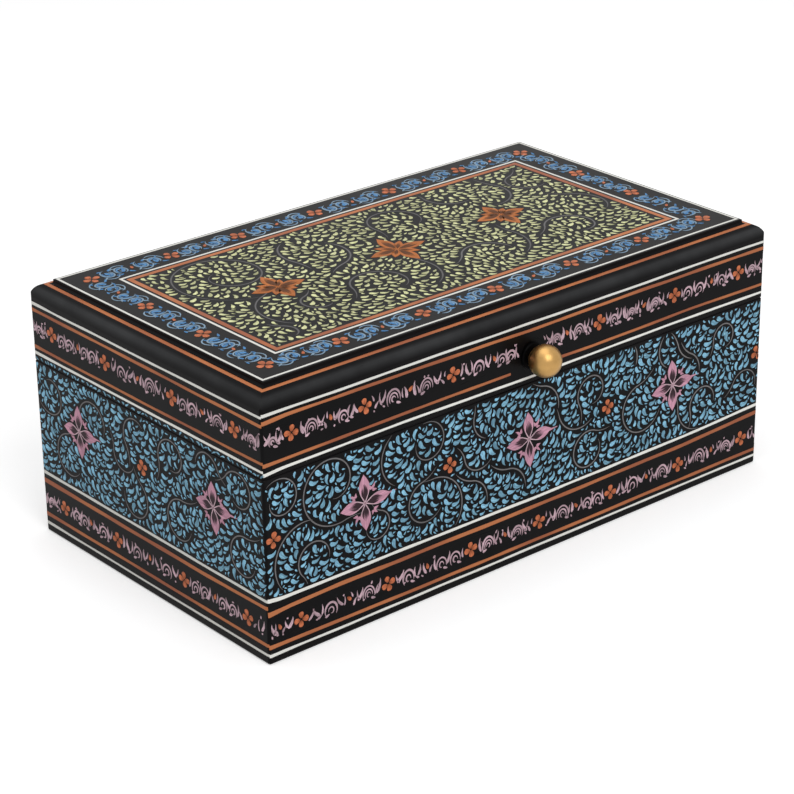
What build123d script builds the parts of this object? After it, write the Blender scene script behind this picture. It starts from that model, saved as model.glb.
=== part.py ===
from build123d import *
from math import radians, sqrt, tan
import os

# Painted wooden box: a mitred case, a mitred lid frame under a moulded top board, two butt hinges, a knob.
# Millimetres. +Z is up, the front faces -Y, and the origin is the centre of the underside.

# Case and lid frame
length = 240.0
depth = 136.0
case_height = 69.5
rail_height = 23.5
wall_thickness = 9.0
corner_round = 1.0
foot_round = 0.9
seam_chamfer = 0.4

# Floor panel, let into a rabbet round the foot of the walls
floor_thickness = 4.0
rabbet_width = 4.5
floor_gap = 0.1

# Moulded edge of the top board, from the outside in: upright edge, shoulder, ledge, cove, raised panel
upright_edge = 1.2
shoulder_radius = 5.0
ledge_width = 0.4
cove_radius = 0.9
panel_rise = 1.8
panel_round = 0.35

# Butt hinges: leaves sunk in the rims, barrel behind the back
hinge_inset = 50.0
hinge_length = 25.0
leaf_thickness = 1.0
leaf_margin = 1.9
leaf_gap = 0.1
mortise_gap = 0.1
barrel_radius = 1.7
barrel_gap = 0.2
knuckle_count = 3
knuckle_gap = 0.15
pin_radius = 0.8
pin_tight_gap = 0.02
pin_running_gap = 0.06

# Countersunk screws of the hinges
screw_spacing = 15.0
screw_length = 8.0
screw_radius = 1.0
screw_head_radius = 1.9
screw_head_angle = 90.0
screw_slot_width = 0.4
screw_slot_depth = 0.5
screw_gap = 0.03

# Ball knob with its turned collar, stud, washer and nut
knob_rise = 10.5
ball_radius = 6.0
neck_radius = 2.4
collar_radius = 5.0
collar_thickness = 1.0
collar_edge_chamfer = 0.4
stud_radius = 1.5
stud_gap = 0.1
stud_tail = 1.0
washer_radius = 3.5
washer_thickness = 0.6
nut_sides = 6
nut_across_flats = 5.5
nut_thickness = 2.4
nut_gap = 0.05
nut_chamfer = 0.3

# Places worked out from the sizes above
seam = case_height
frame_top = case_height + rail_height
shoulder_foot = frame_top + upright_edge
ledge_top = shoulder_foot + shoulder_radius
box_top = ledge_top + panel_rise
inner_length = length - 2 * wall_thickness
inner_depth = depth - 2 * wall_thickness
barrel_y = depth / 2 + barrel_radius + barrel_gap
leaf_inner_y = depth / 2 - wall_thickness + leaf_margin
leaf_width = depth / 2 - leaf_inner_y
screw_y = (leaf_inner_y + depth / 2) / 2
hinge_centres = (-(length / 2 - hinge_inset), length / 2 - hinge_inset)
screw_offsets = (-screw_spacing / 2, screw_spacing / 2)
knuckle_pitch = hinge_length / knuckle_count
ball_centre = collar_thickness + ball_radius
knob_z = seam + knob_rise
knob_axis = Axis((0, 0, knob_z), (0, 1, 0))

pieces = {}


def keep(name, part):
    """Names a finished piece and puts it on the list of pieces to write."""
    part.label = name
    pieces[name] = part


def side_plan(side):
    """Draws the plan of one side of the frame, cut on the mitre at both ends."""
    across = side in ("front", "back")
    half = (length if across else depth) / 2
    face = (depth if across else length) / 2
    sign = -1 if side in ("front", "left") else 1
    ends = [(-half, face), (half, face), (half - wall_thickness, face - wall_thickness),
            (wall_thickness - half, face - wall_thickness)]
    with BuildSketch() as plan:
        Polygon(*[(u, sign * v) if across else (sign * v, u) for u, v in ends], align=None)
    return plan.sketch


def frame_ring(low, high, low_round=0):
    """Builds a whole ring of walls between two heights, its outer edge chamfered where it meets the seam."""
    with BuildPart() as ring:
        with BuildSketch(Plane.XY.offset(low)):
            RectangleRounded(length, depth, corner_round)
        extrude(amount=high - low)
        seam_face = faces().sort_by(Axis.Z)[-1 if high == seam else 0]
        chamfer(seam_face.outer_wire().edges(), seam_chamfer)
        if low_round:
            fillet(faces().sort_by(Axis.Z)[0].outer_wire().edges(), low_round)
        with BuildSketch(Plane.XY.offset(low)):
            Rectangle(inner_length, inner_depth)
        extrude(amount=high - low, mode=Mode.SUBTRACT)
    return ring.part


def hinge_cutter(side_sign):
    """Builds what is cut from a back rim for the hinges, below (-1) or above (+1) the seam."""
    with BuildPart() as cutter:
        with BuildSketch(Plane.XY.offset(seam)):
            with Locations(*[(x, depth / 2) for x in hinge_centres]):
                Rectangle(hinge_length + 2 * mortise_gap, leaf_width + mortise_gap,
                          align=(Align.CENTER, Align.MAX))
        extrude(amount=side_sign * (leaf_thickness + leaf_gap / 2))
        with BuildSketch(Plane.XY.offset(seam)):
            with Locations(*[(x + dx, screw_y) for x in hinge_centres for dx in screw_offsets]):
                Circle(screw_radius + screw_gap)
        extrude(amount=side_sign * (leaf_gap / 2 + screw_length + screw_gap))
    return cutter.part


def base_side(side):
    """Makes one wall of the case, rabbeted at its foot for the floor."""
    ring = frame_ring(0, seam, foot_round)
    cutter = hinge_cutter(-1)
    with BuildPart() as wall:
        add(ring)
        with BuildSketch(Plane.XY):
            Rectangle(inner_length + 2 * rabbet_width, inner_depth + 2 * rabbet_width)
        extrude(amount=floor_thickness + floor_gap, mode=Mode.SUBTRACT)
        extrude(side_plan(side), amount=case_height, mode=Mode.INTERSECT)
        if side == "back":
            add(cutter, mode=Mode.SUBTRACT)
    keep("base_" + side, wall.part)


def lid_side(side):
    """Makes one rail of the lid frame."""
    ring = frame_ring(seam, frame_top)
    cutter = hinge_cutter(1)
    with BuildPart() as rail:
        add(ring)
        extrude(side_plan(side), amount=frame_top, mode=Mode.INTERSECT)
        if side == "back":
            add(cutter, mode=Mode.SUBTRACT)
        if side == "front":
            with BuildSketch(Plane.XZ.offset(depth / 2 - wall_thickness)):
                with Locations((0, knob_z)):
                    Circle(stud_radius + stud_gap)
            extrude(amount=wall_thickness, mode=Mode.SUBTRACT)
    keep("lid_" + side, rail.part)


def floor_panel():
    """Makes the floor panel in its rabbet."""
    with BuildPart() as panel:
        with BuildSketch(Plane.XY):
            edge = 2 * (rabbet_width - floor_gap)
            Rectangle(inner_length + edge, inner_depth + edge)
        extrude(amount=floor_thickness)
    keep("base_floor", panel.part)


def edge_profile(plane, half_span):
    """Draws the section of the top board, from the shoulder in to the raised panel."""
    shoulder_edge = half_span - shoulder_radius
    cove_edge = shoulder_edge - ledge_width
    panel_edge = cove_edge - cove_radius
    with BuildSketch(plane) as profile:
        with BuildLine():
            Polyline((0, box_top), (0, frame_top), (half_span, frame_top), (half_span, shoulder_foot))
            CenterArc((shoulder_edge, shoulder_foot), shoulder_radius, 0, 90)
            Line((shoulder_edge, ledge_top), (cove_edge, ledge_top))
            CenterArc((cove_edge, ledge_top + cove_radius), cove_radius, 180, 90)
            Line((panel_edge, ledge_top + cove_radius), (panel_edge, box_top - panel_round))
            CenterArc((panel_edge - panel_round, box_top - panel_round), panel_round, 0, 90)
            Line((panel_edge - panel_round, box_top), (0, box_top))
        make_face()
        mirror(about=Plane.YZ)
    return profile.sketch


def top_board():
    """Makes the lid's top board, its moulding run along all four edges and mitred at the corners."""
    with BuildPart() as board:
        extrude(edge_profile(Plane.YZ, depth / 2), amount=length / 2, both=True)
        extrude(edge_profile(Plane.XZ, length / 2), amount=depth / 2, both=True, mode=Mode.INTERSECT)
        with BuildSketch(Plane.XY.offset(frame_top)):
            RectangleRounded(length, depth, corner_round)
        extrude(amount=box_top - frame_top, mode=Mode.INTERSECT)
    keep("lid_top", board.part)


def hinge_leaf(name, centre, side_sign, own_knuckles, bore_gap):
    """Makes a hinge leaf with its knuckles, below (-1) or above (+1) the seam."""
    face = seam + side_sign * leaf_gap / 2
    with BuildPart() as leaf:
        with BuildSketch(Plane.XY.offset(face)):
            with Locations((centre, leaf_inner_y)):
                Rectangle(hinge_length, leaf_width, align=(Align.CENTER, Align.MIN))
        extrude(amount=side_sign * leaf_thickness)
        for number in own_knuckles:
            start = centre - hinge_length / 2 + number * knuckle_pitch + knuckle_gap / 2
            with BuildSketch(Plane.YZ.offset(start)):
                with Locations((barrel_y, seam)):
                    Circle(barrel_radius)
                with Locations((leaf_inner_y + leaf_width / 2, face + side_sign * leaf_thickness / 2)):
                    Rectangle(barrel_y - leaf_inner_y - leaf_width / 2, leaf_thickness,
                              align=(Align.MIN, Align.CENTER))
            extrude(amount=knuckle_pitch - knuckle_gap)
        with BuildSketch(Plane.YZ.offset(centre - hinge_length / 2)):
            with Locations((barrel_y, seam)):
                Circle(pin_radius + bore_gap)
        extrude(amount=hinge_length, mode=Mode.SUBTRACT)
        mouths = [Plane((centre + dx, screw_y, face), z_dir=(0, 0, -side_sign)) for dx in screw_offsets]
        with Locations(*mouths):
            CounterSinkHole(screw_radius + screw_gap, screw_head_radius + screw_gap, leaf_thickness,
                            counter_sink_angle=screw_head_angle)
    keep(name, leaf.part)


def hinge_pin(name, centre):
    """Makes a hinge pin."""
    with BuildPart() as pin:
        with BuildSketch(Plane.YZ.offset(centre - hinge_length / 2)):
            with Locations((barrel_y, seam)):
                Circle(pin_radius)
        extrude(amount=hinge_length)
    keep(name, pin.part)


def hinge_screws(name, side_sign):
    """Makes the four screws of one side of the hinges, heads towards the seam."""
    head_height = (screw_head_radius - screw_radius) / tan(radians(screw_head_angle / 2))
    face = seam + side_sign * leaf_gap / 2
    with BuildPart() as screws:
        for x in [centre + dx for centre in hinge_centres for dx in screw_offsets]:
            down = Plane((x, screw_y, face), x_dir=(1, 0, 0), z_dir=(0, -side_sign, 0))
            with BuildSketch(down):
                with BuildLine():
                    Polyline((0, 0), (screw_head_radius, 0), (screw_radius, head_height),
                             (screw_radius, screw_length), (0, screw_length), (0, 0))
                make_face()
            revolve(axis=Axis((x, screw_y, face), (0, 0, 1)))
            with BuildSketch(Plane.XY.offset(face)):
                with Locations((x, screw_y)):
                    Rectangle(2 * screw_head_radius, screw_slot_width)
            extrude(amount=side_sign * screw_slot_depth, mode=Mode.SUBTRACT)
    keep(name, screws.part)


def outward(distance, radius):
    """Gives the section point at a distance out of the lid's front and a radius from the knob's axis."""
    return (-depth / 2 - distance, knob_z + radius)


def knob_ball():
    """Makes the ball with its neck and its stud through the rail."""
    neck_start = ball_centre - sqrt(ball_radius ** 2 - neck_radius ** 2)
    stud_end = -(wall_thickness + washer_thickness + nut_thickness + stud_tail)
    with BuildPart() as ball:
        with BuildSketch(Plane.YZ):
            with BuildLine():
                ThreePointArc(outward(ball_centre + ball_radius, 0), outward(ball_centre, ball_radius),
                              outward(neck_start, neck_radius))
                Polyline(outward(neck_start, neck_radius), outward(collar_thickness, neck_radius),
                         outward(collar_thickness, stud_radius), outward(stud_end, stud_radius),
                         outward(stud_end, 0), outward(ball_centre + ball_radius, 0))
            make_face()
        revolve(axis=knob_axis)
    keep("knob_ball", ball.part)


def knob_collar():
    """Makes the turned collar behind the ball, with a chamfered rim."""
    rim = collar_thickness - collar_edge_chamfer
    front_radius = collar_radius - collar_edge_chamfer
    bore_radius = stud_radius + stud_gap
    with BuildPart() as collar:
        with BuildSketch(Plane.YZ):
            with BuildLine():
                Polyline(outward(0, bore_radius), outward(0, collar_radius), outward(rim, collar_radius),
                         outward(collar_thickness, front_radius), outward(collar_thickness, bore_radius),
                         outward(0, bore_radius))
            make_face()
        revolve(axis=knob_axis)
    keep("knob_collar", collar.part)


def knob_fastening():
    """Makes the washer and the nut that hold the knob's stud inside the lid."""
    inner_face = depth / 2 - wall_thickness
    with BuildPart() as washer:
        with BuildSketch(Plane.XZ.offset(inner_face)):
            with Locations((0, knob_z)):
                Circle(washer_radius)
                Circle(stud_radius + stud_gap, mode=Mode.SUBTRACT)
        extrude(amount=-washer_thickness)
    keep("knob_washer", washer.part)
    with BuildPart() as nut:
        with BuildSketch(Plane.XZ.offset(inner_face - washer_thickness)):
            with Locations((0, knob_z)):
                RegularPolygon(nut_across_flats / 2, nut_sides, major_radius=False)
        extrude(amount=-nut_thickness)
        chamfer(faces().sort_by(Axis.Y)[-1].outer_wire().edges(), nut_chamfer)
        with BuildSketch(Plane.XZ.offset(inner_face - washer_thickness)):
            with Locations((0, knob_z)):
                Circle(stud_radius + nut_gap)
        extrude(amount=-nut_thickness, mode=Mode.SUBTRACT)
    keep("knob_nut", nut.part)


def build():
    """Makes every piece of the box."""
    for side in ("front", "back", "left", "right"):
        base_side(side)
        lid_side(side)
    floor_panel()
    top_board()
    base_knuckles = range(0, knuckle_count, 2)
    lid_knuckles = range(1, knuckle_count, 2)
    for word, centre in zip(("left", "right"), hinge_centres):
        hinge_leaf("hinge_" + word + "_base_leaf", centre, -1, base_knuckles, pin_tight_gap)
        hinge_leaf("hinge_" + word + "_lid_leaf", centre, 1, lid_knuckles, pin_running_gap)
        hinge_pin("hinge_" + word + "_pin", centre)
    hinge_screws("base_hinge_screws", -1)
    hinge_screws("lid_hinge_screws", 1)
    knob_ball()
    knob_collar()
    knob_fastening()


build()
os.makedirs("parts", exist_ok=True)
for name, part in pieces.items():
    export_step(part, "parts/" + name + ".step")
    print(name, len(part.solids()), "solids", round(part.volume, 1), "mm3")
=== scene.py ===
"""Dresses a lacquered wooden box: painted borders, scroll bands, leaf fields, finishes and a studio."""

import math
import random
from collections import namedtuple

import bmesh
import bpy
import numpy as np
from mathutils import Matrix, Vector, noise


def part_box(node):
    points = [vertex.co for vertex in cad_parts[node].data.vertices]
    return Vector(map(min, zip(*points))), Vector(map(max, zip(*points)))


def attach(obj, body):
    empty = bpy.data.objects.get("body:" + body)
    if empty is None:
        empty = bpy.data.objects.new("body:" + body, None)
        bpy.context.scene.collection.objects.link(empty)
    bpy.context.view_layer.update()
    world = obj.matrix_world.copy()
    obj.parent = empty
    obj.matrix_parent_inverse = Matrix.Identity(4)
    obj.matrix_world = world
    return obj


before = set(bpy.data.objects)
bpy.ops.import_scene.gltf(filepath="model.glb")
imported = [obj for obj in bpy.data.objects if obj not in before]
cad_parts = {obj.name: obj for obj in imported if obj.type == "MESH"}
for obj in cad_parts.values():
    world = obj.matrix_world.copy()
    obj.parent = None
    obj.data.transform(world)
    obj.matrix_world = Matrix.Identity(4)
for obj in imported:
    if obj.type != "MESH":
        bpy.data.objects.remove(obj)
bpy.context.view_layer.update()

bl_info = {
    "name": "Painted Wooden Box",
    "version": (1, 0, 0),
    "blender": (4, 5, 0),
    "location": "3D View > Sidebar > Painted Box",
    "description": "Paints the borders, scrolls and leaf fields of a lacquered box and sets up its studio",
    "category": "Object",
}

MM = 0.001
SEED = 27

# Sizes read from the frame, in millimetres.
TOP_LOW, TOP_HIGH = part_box("lid_top")
LENGTH = (TOP_HIGH.x - TOP_LOW.x) / MM
DEPTH = (TOP_HIGH.y - TOP_LOW.y) / MM
HEIGHT = TOP_HIGH.z / MM
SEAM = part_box("base_front")[1].z / MM
FRAME_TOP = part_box("lid_front")[1].z / MM
KNOB_LOW, KNOB_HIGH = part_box("knob_collar")
KNOB_X = (KNOB_LOW.x + KNOB_HIGH.x) / 2 / MM + LENGTH / 2
KNOB_Z = (KNOB_LOW.z + KNOB_HIGH.z) / 2 / MM

# The walls and the moulded top board, in millimetres.
WALL_THICKNESS = 9.0
CORNER_ROUND = 1.0
SHOULDER_RADIUS = 5.0
LEDGE_TOP = 99.2
PANEL_INSET = 6.3

# How far every stroke sinks into the lacquer, in millimetres.
PAINT_SINK = 0.02


# Sizes and colours that a user would change


def metres(label, words, default, low, high):
    """A length property, in metres."""
    return bpy.props.FloatProperty(
        name=label, description=words, default=default, min=low, max=high, unit="LENGTH", precision=5,
    )


def linear(value):
    """One screen value, 0 to 255, as linear light."""
    value /= 255
    return value / 12.92 if value <= 0.04045 else ((value + 0.055) / 1.055) ** 2.4


def swatch(label, words, colour):
    """A colour property with its default given as screen values from 0 to 255."""
    return bpy.props.FloatVectorProperty(
        name=label, description=words, subtype="COLOR", size=3, min=0.0, max=1.0,
        default=tuple(linear(c) for c in colour),
    )


class PaintedBoxSizes(bpy.types.PropertyGroup):
    """Sizes of the brushwork."""

    lift: metres("Paint thickness", "How far a stroke stands off the lacquer", 0.00005, 0.00001, 0.0003)
    crown: metres("Stroke crown", "Extra height of a loaded stroke at its middle", 0.00003, 0.0, 0.0002)
    line: metres("Border line", "Width of the ruled border lines", 0.00125, 0.0003, 0.004)
    vine: metres("Vine", "Width of the thin vines", 0.00044, 0.0002, 0.002)
    leaf_length: metres("Leaf length", "Length of the walls' largest comma leaves", 0.0043, 0.001, 0.01)
    leaf_width: metres("Leaf width", "Width of the walls' largest comma leaves", 0.0024, 0.0005, 0.005)
    stroke_length: metres("Top stroke length", "Length of the top's largest strokes", 0.0037, 0.001, 0.01)
    stroke_width: metres("Top stroke width", "Width of the top's largest strokes", 0.0022, 0.0005, 0.005)


class PaintedBoxColours(bpy.types.PropertyGroup):
    """Colours of the lacquer, the paints and the metal."""

    lacquer: swatch("Lacquer", "Ground colour of the outside", (14, 13, 14))
    wood: swatch("Bare wood", "Varnished wood of the inside", (168, 120, 76))
    blue: swatch("Leaf blue", "Comma leaves of the walls", (137, 190, 219))
    vine: swatch("Vine grey", "Thin vines", (128, 126, 127))
    pink: swatch("Petal pink", "Large petals", (208, 153, 174))
    mauve: swatch("Scroll pink", "Scrolls of the narrow bands", (215, 181, 192))
    orange: swatch("Blossom orange", "Small blossoms", (213, 121, 82))
    rule: swatch("Rule orange", "Orange border lines", (203, 126, 83))
    green: swatch("Yellow green", "Strokes of the top panel", (230, 232, 174))
    azure: swatch("Border blue", "Curls of the top border", (80, 138, 192))
    white: swatch("Line white", "White border lines", (240, 239, 233))
    brass: swatch("Brass", "Knob and hinges", (190, 150, 92))


# Places on the box

Side = namedtuple("Side", "name width matrix")


def side(name, width, origin, across, up):
    """A face of the box with its own flat drawing: x runs across, y runs up, in millimetres."""
    across, up = Vector(across), Vector(up)
    out = across.cross(up)
    matrix = Matrix((across, up, out)).transposed().to_4x4() * MM
    matrix.translation = Vector(origin) * MM
    matrix[3][3] = 1.0
    return Side(name, width, matrix)


HALF_L, HALF_D = LENGTH / 2, DEPTH / 2
SIDES = {
    "front": side("front", LENGTH, (-HALF_L, -HALF_D, 0), (1, 0, 0), (0, 0, 1)),
    "right": side("right", DEPTH, (HALF_L, -HALF_D, 0), (0, 1, 0), (0, 0, 1)),
    "back": side("back", LENGTH, (HALF_L, HALF_D, 0), (-1, 0, 0), (0, 0, 1)),
    "left": side("left", DEPTH, (-HALF_L, HALF_D, 0), (0, -1, 0), (0, 0, 1)),
}
TOP = side("top", LENGTH, (-HALF_L, -HALF_D, HEIGHT), (1, 0, 0), (0, 1, 0))


def round_corner(x, out, width):
    """Carries a point of a wall's flat drawing round the wall's rounded upright corner."""
    if CORNER_ROUND <= x <= width - CORNER_ROUND:
        return x, out
    turn = (CORNER_ROUND - min(x, width - x)) / CORNER_ROUND
    reach = CORNER_ROUND + out
    near = CORNER_ROUND - reach * math.sin(turn)
    return (near if x < width / 2 else width - near), reach * math.cos(turn) - CORNER_ROUND


# Brush strokes, drawn flat in millimetres


def away(x, y, reach, angle):
    """The point at a distance from (x, y), along an angle in degrees."""
    turn = math.radians(angle)
    return x + reach * math.cos(turn), y + reach * math.sin(turn)


def turned(x, y, run, rise, angle):
    """The point at run along and rise across a direction from (x, y), given in degrees."""
    cosine, sine = math.cos(math.radians(angle)), math.sin(math.radians(angle))
    return x + run * cosine - rise * sine, y + run * sine + rise * cosine


def comma(circle, x, y, long, wide, angle, tail=0.0, curl=0.0, hollow=0.0):
    """A comma outline about (x, y) from the points of a unit circle: a round head first, then a tail
    that thins by the share tail and turns through curl radians, its inner side drawn in by the share
    hollow. The angle is the whole stroke's slant."""
    curl = curl if abs(curl) > 0.001 else 0.001
    start = math.radians(angle) - curl / 2
    cosine, sine = math.cos(start), math.sin(start)
    middle = 0.42 * curl
    mid_x, mid_y = long * math.sin(middle) / curl, long * (1 - math.cos(middle)) / curl
    points = []
    for point in circle:
        share = (1 - point[0]) / 2
        turn = curl * share
        half = point[1] * wide / 2 * (1 - tail * share) * (1 + 0.3 * tail)
        if half * curl > 0:
            half *= 1 - hollow
        run = long * math.sin(turn) / curl - half * math.sin(turn) - mid_x
        rise = long * (1 - math.cos(turn)) / curl + half * math.cos(turn) - mid_y
        points.append((x + run * cosine - rise * sine, y + run * sine + rise * cosine))
    return points


class Drawing:
    """Flat strokes for one finished piece, kept on sheets of a few hundred, which are quick to work on."""

    sheet_size = 250

    def __init__(self):
        self.sheets = []
        self.room = 0

    def sheet(self):
        """The sheet with room for one more stroke."""
        if not self.room:
            self.sheets.append(bmesh.new())
            self.sheets[-1].verts.layers.float_color.new("stroke")
            self.room = self.sheet_size
        self.room -= 1
        return self.sheets[-1], self.sheets[-1].verts.layers.float_color["stroke"]

    def ribbon(self, path, width, taper=0.0, tint=0.5):
        """A stroke along path, of one width or a width for each point, thinned over the share taper."""
        mesh, stroke = self.sheet()
        count = len(path) - 1
        made = bmesh.ops.create_grid(mesh, x_segments=count, y_segments=1, size=1.0)["verts"]
        for vert in made:
            at = round((vert.co.x + 1) / 2 * count)
            edge = 1 if vert.co.y > 0 else -1
            before, after = path[max(at - 1, 0)], path[min(at + 1, count)]
            along = Vector((after[0] - before[0], after[1] - before[1])).normalized()
            here = width[at] if isinstance(width, list) else width
            if taper:
                here *= min(1.0, 0.18 + min(at, count - at) / count / taper)
            vert.co.x = path[at][0] - along.y * edge * here / 2
            vert.co.y = path[at][1] + along.x * edge * here / 2
            vert[stroke] = (at / count, (edge + 1) / 2, tint, 1)

    def blob(self, x, y, long, wide, angle=0.0, tail=0.0, curl=0.0, tint=0.5, segments=12, hollow=0.0):
        """A rounded stroke about (x, y), shaped by comma()."""
        mesh, stroke = self.sheet()
        made = bmesh.ops.create_circle(mesh, cap_ends=True, segments=segments, radius=1.0)["verts"]
        points = comma([v.co for v in made], x, y, long, wide, angle, tail, curl, hollow)
        for vert, point in zip(made, points):
            vert[stroke] = ((1 - vert.co.x) / 2, (vert.co.y + 1) / 2, tint, 1)
            vert.co.x, vert.co.y = point

    def petal(self, x, y, long, wide, angle, tint=0.5, point=1.1, full=1.0):
        """A petal from (x, y) on, pointed at both ends, and widest past its middle if full is over 1."""
        mesh, stroke = self.sheet()
        made = bmesh.ops.create_circle(mesh, cap_ends=True, segments=24, radius=1.0)["verts"]
        for vert in made:
            share = min(max((vert.co.x + 1) / 2, 0.0), 1.0)
            edge = 1 if vert.co.y > 0 else -1
            vert[stroke] = (share, (vert.co.y + 1) / 2, tint, 1)
            half = edge * wide / 2 * max(math.sin(math.pi * share**full), 0.0) ** point
            vert.co.x, vert.co.y = turned(x, y, share * long, half, angle)

    def place(self, name, where, body, paint_name, lift=None, crown=None):
        """Gives the strokes their thickness, lays them on a face and makes the piece."""
        sizes = bpy.context.scene.painted_box_sizes
        lift = sizes.lift / MM if lift is None else lift
        crown = sizes.crown / MM if crown is None else crown
        whole = bmesh.new()
        for mesh in self.sheets:
            thicken(mesh, lift)
            if crown:
                tops = [f for f in mesh.faces if f.normal.z > 0.9 and len(f.verts) > 4]
                bmesh.ops.inset_individual(mesh, faces=tops, thickness=0.12, depth=crown)
            if where.name != "top":
                for vert in mesh.verts:
                    vert.co.x, vert.co.z = round_corner(vert.co.x, vert.co.z, where.width)
            bmesh.ops.transform(mesh, matrix=where.matrix, verts=mesh.verts[:])
            page = bpy.data.meshes.new("page")
            mesh.to_mesh(page)
            mesh.free()
            whole.from_mesh(page)
            bpy.data.meshes.remove(page)
        return finish(name, whole, body, paint_name)


def thicken(mesh, lift):
    """Turns flat strokes into closed slabs that sink a little into the lacquer."""
    mesh.normal_update()
    bmesh.ops.reverse_faces(mesh, faces=[f for f in mesh.faces if f.normal.z < 0])
    raised = bmesh.ops.extrude_face_region(mesh, geom=mesh.faces[:])["geom"]
    upper = {e for e in raised if isinstance(e, bmesh.types.BMVert)}
    for vert in mesh.verts:
        vert.co.z += lift if vert in upper else -PAINT_SINK
    bmesh.ops.recalc_face_normals(mesh, faces=mesh.faces[:])


UNIT_CIRCLE = [(math.cos(math.radians(a)), math.sin(math.radians(a))) for a in range(0, 360, 15)]


def finish(name, mesh, body, paint_name):
    """Turns a bmesh into a finished piece that rides on a body."""
    data = bpy.data.meshes.new(name)
    mesh.to_mesh(data)
    mesh.free()
    piece = bpy.data.objects.new(name, data)
    bpy.context.scene.collection.objects.link(piece)
    data.materials.append(finish_named(paint_name))
    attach(piece, body)
    return piece


def spiral(x, y, radius, start, sweep, end_radius, step=0.9):
    """Points of a curl about (x, y) from angle start through sweep degrees, its radius changing evenly."""
    count = max(6, round(abs(math.radians(sweep)) * (radius + end_radius) / 2 / step))
    points = []
    for i in range(count + 1):
        share = i / count
        points.append(away(x, y, radius + (end_radius - radius) * share, start + sweep * share))
    return points


def unsteady(x, seed, size):
    """The slow waver of a hand-drawn line."""
    return size * noise.noise(Vector((x * 0.045, seed * 7.3, 0.0)))


def profile(heights, x):
    """A height between the marks of a line, given as (place, height) pairs."""
    return float(np.interp(x, [h[0] for h in heights], [h[1] for h in heights]))


# Where strokes may go


class Ground:
    """Keeps count of the painted parts of a face, so that strokes stay clear of each other."""

    cell = 0.22
    tallest = DEPTH

    def __init__(self, width, low, high):
        self.width, self.low, self.high = width, low, high
        columns, rows = int(width / self.cell) + 2, int(self.tallest / self.cell) + 2
        self.used = np.zeros((columns, rows), bool)
        self.field = np.zeros((columns, rows), bool)
        for column in range(columns):
            x = (column + 0.5) * self.cell
            if 0.5 < x < width - 0.5:
                self.field[column, int(low(x) / self.cell) + 1 : int(high(x) / self.cell)] = True

    def spots(self, points):
        """The cells under some points."""
        where = (np.asarray(points) / self.cell).astype(int)
        return where[:, 0], where[:, 1]

    def inside(self, points):
        """True when every point lies in the field."""
        return all(0.4 < x < self.width - 0.4 and self.low(x) < y < self.high(x) for x, y in points)

    def free(self, points):
        """True when nothing is painted under the points."""
        columns, rows = self.spots(points)
        if min(columns.min(), rows.min()) < 0:
            return False
        if columns.max() >= len(self.used) or rows.max() >= len(self.used[0]):
            return False
        return not self.used[columns, rows].any()

    def mark(self, points):
        """Counts the cells under the points as painted."""
        self.used[self.spots(points)] = True

    def disc(self, x, y, radius):
        """Counts a round patch as painted."""
        span = np.arange(-radius, radius + 0.01, self.cell * 0.8)
        across, up = np.meshgrid(span, span)
        keep = across**2 + up**2 <= radius**2
        spots = np.stack([x + across[keep], y + up[keep]], 1)
        self.mark(spots[((spots > 0) & (spots < (self.width, self.tallest))).all(1)])

    def openings(self, count, rng):
        """Unpainted places of the field, picked at random."""
        free = np.argwhere(self.field & ~self.used)
        picks = free[rng.sample(range(len(free)), min(count, len(free)))]
        return [((x + rng.random()) * self.cell, (y + rng.random()) * self.cell) for x, y in picks]


def filled(points):
    """Points spread over a stroke's whole shape, from its outline."""
    spread = []
    mid_x, mid_y = sum(p[0] for p in points) / len(points), sum(p[1] for p in points) / len(points)
    for share in (1.0, 0.8, 0.6, 0.4, 0.2):
        spread += [(mid_x + (x - mid_x) * share, mid_y + (y - mid_y) * share) for x, y in points]
    return spread


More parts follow.
